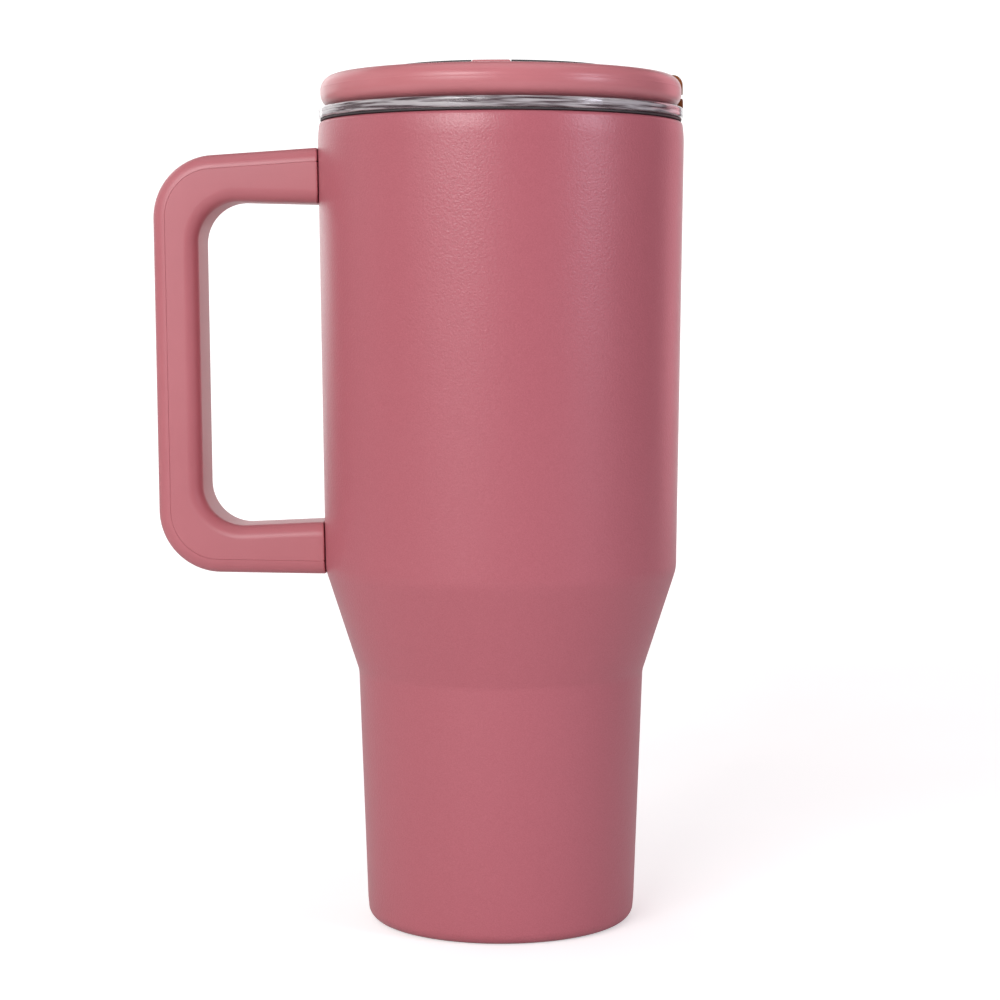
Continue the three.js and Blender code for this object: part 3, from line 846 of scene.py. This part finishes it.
def make_dial():
    dish = revolve(
        "dial_fine",
        [(0, DIAL_BOTTOM), (DIAL_R - 0.5, DIAL_BOTTOM)]
        + arc(DIAL_R - 0.5, DIAL_BOTTOM + 0.5, 0.5, -90, 0, 5)
        + arc(DIAL_R - 0.6, DIAL_TOP - 0.6, 0.6, 0, 90, 6)
        + arc(DIAL_R - DIAL_RIM_T + 0.4, DIAL_TOP - 0.4, 0.4, 90, 180, 5)
        + arc(DIAL_R - DIAL_RIM_T - 0.8, DIAL_FLOOR + 0.8, 0.8, 0, -90, 6)
        + [(0, DIAL_FLOOR)],
        192,
    )
    slot_half = GRIP_W / 2 + GRIP_SLOT
    window = rounded(-SIP_AT - 3.2, -STRAW_AT + STRAW_R, -5, 5, 4.9)
    cut(
        dish,
        block("slot", -slot_half, slot_half, -40, 40, DIAL_FLOOR, DIAL_TOP + 1),
        drum("bore", 2.38, 230, 240),
        prism("window", window, 230, 240),
    )
    finish_piece(dish, "dial", "dial", DIAL_FINISH)

    half_angle = math.degrees(math.asin(GRIP_W / 2 / DIAL_R))
    outline = arc(0, 0, DIAL_R, 90 - half_angle, 90 + half_angle, 14)
    outline += arc(0, 0, DIAL_R, 270 - half_angle, 270 + half_angle, 14)
    low = DIAL_FLOOR + 0.1
    grip = prism("dial_grip_fine", outline, low, DIAL_TOP, "Z", 0.6, 5)
    cut(grip, drum("screw_room", 4.6, low - 1, low + 2.3))
    finish_piece(grip, "dial", "dial_grip", RING_FINISH)

    bore_r, washer_r, low, high = 2.6, 4.2, 234.55, 234.95
    washer = revolve(
        "spring_washer_fine", [(bore_r, low), (washer_r, low), (washer_r, high), (bore_r, high)], 64
    )
    finish_piece(washer, "lid", "spring_washer", STEEL)
    pivot = revolve(
        "pivot_screw_fine",
        [(0, 223.5), (1.4, 223.5), (1.7, 223.9), (1.7, DECK_TOP + 0.1), (2.3, DECK_TOP + 0.1)]
        + [(2.3, 235.1), (3.8, 235.1)]
        + arc(3.4, 236.1, 0.4, 0, 90, 4)
        + [(0, 236.5)],
        64,
    )
    finish_piece(pivot, "lid", "pivot_screw", STEEL)
    middle = (SEAL_INNER + SEAL_OUTER) / 2
    section = [(SEAL_INNER, 231.25), (SEAL_OUTER, 231.25), (SEAL_OUTER, 231.7)]
    section += arc(middle, 231.7, middle - SEAL_INNER, 20, 160, 10)[1:-1]
    section = [(r, min(z, 232.2)) for r, z in section] + [(SEAL_INNER, 231.7)]
    for node, y in (("straw_seal", -STRAW_AT), ("sip_seal", SIP_AT)):
        seal = revolve(node + "_fine", section, 96, (0, y))
        finish_piece(seal, "lid", node, SILICONE)


def make_latch():
    points, under = latch_outline()
    meet = math.degrees(math.asin((under - HINGE_Z) / BARREL_R))
    outline = points + arc(HINGE_R, HINGE_Z, BARREL_R, meet, -270, 40)[:-1]
    half = LATCH_W / 2
    latch = prism("ring_latch_fine", outline, -half, half, "Y", 0.35, 4)
    cut(latch, prism("bore", pin_bore(), -half - 2, half + 2, "Y"))
    finish_piece(at_latch(latch), "latch", "ring_latch", AMBER)

    pin_outline = arc(HINGE_R, HINGE_Z, PIN_R, 0, 352.5, 47)
    pin = prism("latch_pin_fine", pin_outline, -half - 2.5, half + 2.5, "Y", 0.2, 3)
    finish_piece(at_latch(pin), "lid", "latch_pin", STEEL)

    back_r, front_r, top, corner = 47.0, 51.2, 230.7, 0.6
    stub = [(back_r, FLANGE_TOP + 0.1), (front_r - 1, FLANGE_TOP + 0.1), (front_r, FLANGE_TOP + 0.9)]
    stub += arc(front_r - corner, top - corner, corner, 0, 90, 5) + [(back_r, top)]
    catch = at_latch(prism("latch_catch_fine", stub, -half, half, "Y", 0.35, 4))
    clear = [(30, RING_Z - RING_HIGH - 5)]
    clear += ring_side(GAP, -90, 90, 40)
    clear += [(30, RING_Z + RING_HIGH + 5)]
    cut(catch, revolve("undercut", clear))
    finish_piece(catch, "lid", "latch_catch", AMBER)


make_outer_wall()
make_inner_wall()
make_base()
make_handle()
make_lid_base()
make_lid_ring()
make_lid_seal()
make_dial()
make_latch()
for hidden in ("upper_bracket", "lower_bracket", "upper_screw", "lower_screw"):
    paint_node(hidden, STEEL)
paint_node("vacuum_plug", SEAL_GLASS)
paint_node("getter_disc", GETTER)

# ---------------------------------------------------------------- floor, light and camera


def make_floor():
    radius, sides = 1.2, 120
    rim = arc(0, 0, radius, 0, 360 - 360 / sides, sides - 1)
    mesh = bpy.data.meshes.new("floor")
    mesh.from_pydata([(x, y, 0) for x, y in rim], [], [range(sides)])
    floor = bpy.data.objects.new("floor", mesh)
    bpy.context.scene.collection.objects.link(floor)
    n = Nodes("floor_paper")
    n.color(n.tint(n.noise(8, 2.0), linear(222, 222, 222), linear(226, 226, 226)))
    n.roughness(n.span(n.noise(20, 2.0), 0.85, 0.9))
    n.set(Specular_IOR_Level=0.1, Emission_Color=(1, 1, 1, 1))
    seen = n.node("ShaderNodeLightPath").outputs["Is Camera Ray"]
    n.link(n.span(seen, 0, 0.5, 0, 1), n.shader.inputs["Emission Strength"])
    floor.data.materials.append(n.material)


def softbox(name, azimuth, elevation, size, energy, color=(1, 1, 1)):
    """A panel 1.6 m from the mug. Azimuth runs from the front towards +X, in degrees."""
    a, e = math.radians(azimuth), math.radians(elevation)
    target = Vector((0, 0, 0.12))
    towards = Vector((math.sin(a) * math.cos(e), -math.cos(a) * math.cos(e), math.sin(e)))
    place = target + 1.6 * towards
    light = bpy.data.lights.new(name, "AREA")
    light.shape = "RECTANGLE"
    light.size, light.size_y = size
    light.energy = energy
    light.color = color
    obj = bpy.data.objects.new(name, light)
    obj.location = place
    obj.rotation_mode = "QUATERNION"
    obj.rotation_quaternion = (target - place).to_track_quat("-Z", "Y")
    obj.visible_camera = False
    bpy.context.scene.collection.objects.link(obj)


def make_world():
    world = bpy.data.worlds.new("studio")
    world.use_nodes = True
    tree = world.node_tree
    background = tree.nodes["Background"]
    background.inputs["Color"].default_value = (1, 1, 1, 1)
    seen = tree.nodes.new("ShaderNodeLightPath").outputs["Is Camera Ray"]
    strength = tree.nodes.new("ShaderNodeMapRange")
    strength.inputs["To Min"].default_value = 0.1
    strength.inputs["To Max"].default_value = 1.2
    tree.links.new(seen, strength.inputs["Value"])
    tree.links.new(strength.outputs["Result"], background.inputs["Strength"])
    bpy.context.scene.world = world


def make_camera():
    distance, height, aside = 0.7081, 0.1746, -0.00024
    turn, pitch = math.radians(4.5), math.radians(4.55)
    data = bpy.data.cameras.new("camera")
    data.lens = 90.83
    data.sensor_width = 36.0
    data.clip_start, data.clip_end = 0.01, 50
    camera = bpy.data.objects.new("camera", data)
    across = Vector((math.cos(turn), math.sin(turn), 0))
    back = Vector((math.sin(turn), -math.cos(turn), 0))
    camera.location = back * distance + across * aside + Vector((0, 0, height))
    look = -back * math.cos(pitch) - Vector((0, 0, math.sin(pitch)))
    camera.rotation_mode = "QUATERNION"
    camera.rotation_quaternion = look.to_track_quat("-Z", "Y")
    bpy.context.scene.collection.objects.link(camera)
    bpy.context.scene.camera = camera


make_floor()
make_world()
softbox("key", -18, 22, (0.7, 0.5), 12.6)
softbox("key_fill", -38, 25, (0.6, 0.9), 4.8)
softbox("side", 62, 18, (0.4, 0.5), 7.4, (0.88, 0.86, 1.0))
softbox("left", -90, 22, (1.0, 1.3), 2.4)
softbox("back_left", -135, 20, (1.0, 1.3), 5.4)
softbox("backdrop", -174, 10, (1.6, 1.0), 6.6)
softbox("back_right", 142, 14, (0.7, 1.2), 4.8, (1.0, 0.42, 0.48))
softbox("top", 0, 88, (1.6, 1.6), 6.5)
make_camera()
bpy.context.scene.view_settings.view_transform = "Standard"
